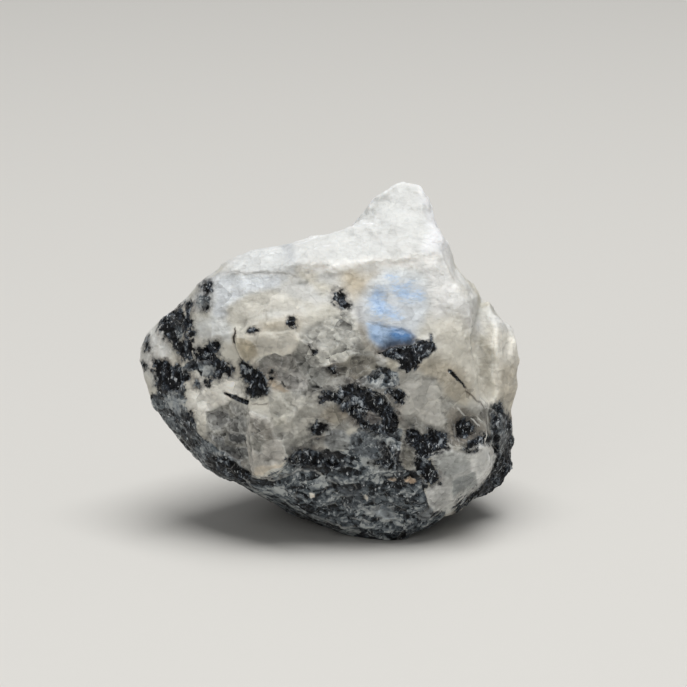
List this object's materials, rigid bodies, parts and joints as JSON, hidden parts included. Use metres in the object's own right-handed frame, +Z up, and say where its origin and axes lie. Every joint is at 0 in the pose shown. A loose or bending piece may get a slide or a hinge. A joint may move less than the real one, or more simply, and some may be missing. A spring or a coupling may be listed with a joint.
{
  "type": "rough moonstone",
  "caption": "Rough piece of white moonstone with black crystals, broken on its face and worn underneath, that rests on a small flat side.",
  "frame": {"origin": "in the resting face, under the middle of the stone's bounding box", "axes": "+Z up from the resting face, -Y the way the broken face with the blue sheen looks, +X to the right as seen from the front, towards the long ridge"},
  "size_m": [0.0598, 0.0454, 0.0549],
  "materials": {
    "moonstone": "satin"
  },
  "bodies": {
    "root": {"moonstone": "moonstone"}
  },
  "joints": []
}
